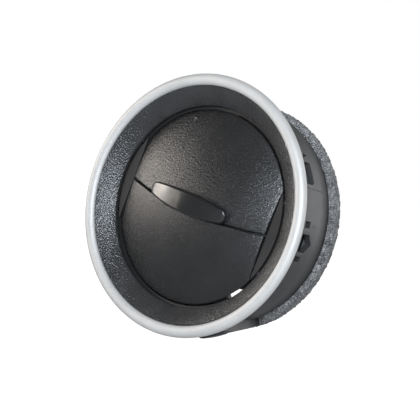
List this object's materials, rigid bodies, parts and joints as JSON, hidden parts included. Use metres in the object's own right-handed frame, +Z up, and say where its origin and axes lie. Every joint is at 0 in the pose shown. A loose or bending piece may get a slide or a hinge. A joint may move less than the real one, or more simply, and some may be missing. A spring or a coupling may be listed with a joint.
{
  "type": "dashboard air vent",
  "caption": "Round dashboard air vent with a silver trim ring, a turning carrier, two coupled tilting flaps with a finger tab, a barrel housing and a rear foam seal.",
  "frame": {"origin": "on the vent's axis, in the plane of the flange's back face, which seats on the dashboard panel", "axes": "+Y along the axis into the dashboard, the face looks along -Y, +Z up, +X to the right as seen from the front"},
  "size_m": [0.09, 0.0416, 0.09],
  "materials": {
    "satin_silver": "satin silver coat on moulded plastic",
    "grained_plastic": "fine leather-like grain, low sheen",
    "housing_plastic": "plain moulded, low sheen",
    "foam": "open-cell foam",
    "felt": "pressed felt",
    "carrier_plastic": "plain moulded, low sheen",
    "flap_plastic": "fine grain, low sheen",
    "tab_plastic": "smooth, semi-gloss",
    "link_plastic": "natural acetal",
    "steel": "ground steel pin",
    "sleeve_plastic": "soft friction sleeve",
    "pad_rubber": "soft stop pad"
  },
  "bodies": {
    "frame": {"housing": "housing_plastic", "bezel": "grained_plastic", "trim_ring": "satin_silver", "foam_seal": "foam", "felt_ring": "felt"},
    "carrier": {"flap_carrier": "carrier_plastic", "pivot_pin_upper_left": "steel", "pivot_pin_upper_right": "steel", "pivot_pin_lower_left": "steel", "pivot_pin_lower_right": "steel", "stop_pad_1": "pad_rubber", "stop_pad_2": "pad_rubber", "stop_pad_3": "pad_rubber", "stop_pad_4": "pad_rubber"},
    "upper": {"upper_flap": "flap_plastic", "finger_tab": "tab_plastic", "friction_sleeve_upper": "sleeve_plastic"},
    "lower": {"lower_flap": "flap_plastic", "friction_sleeve_lower": "sleeve_plastic"},
    "link": {"link_rod": "link_plastic"}
  },
  "joints": [
    {"name": "rotor_turn", "type": "hinge", "parent": "frame", "child": "carrier", "pos_m": [0, 0, 0], "axis": [0, 1, 0], "continuous": true},
    {"name": "upper_flap_tilt", "type": "hinge", "parent": "carrier", "child": "upper", "pos_m": [0, 0.0045, 0.0125], "axis": [-1, 0, 0], "range_deg": [0, 75]},
    {"name": "lower_flap_tilt", "type": "hinge", "parent": "carrier", "child": "lower", "pos_m": [0, 0.0045, -0.0125], "axis": [-1, 0, 0], "range_deg": [0, 75]},
    {"name": "link_swing", "type": "hinge", "parent": "upper", "child": "link", "pos_m": [0, 0.0081, 0.026], "axis": [-1, 0, 0], "range_deg": [-75, 0]}
  ],
  "couplings": [
    {"joint": "lower_flap_tilt", "follows": "upper_flap_tilt", "ratio": 1},
    {"joint": "link_swing", "follows": "upper_flap_tilt", "ratio": -1}
  ]
}
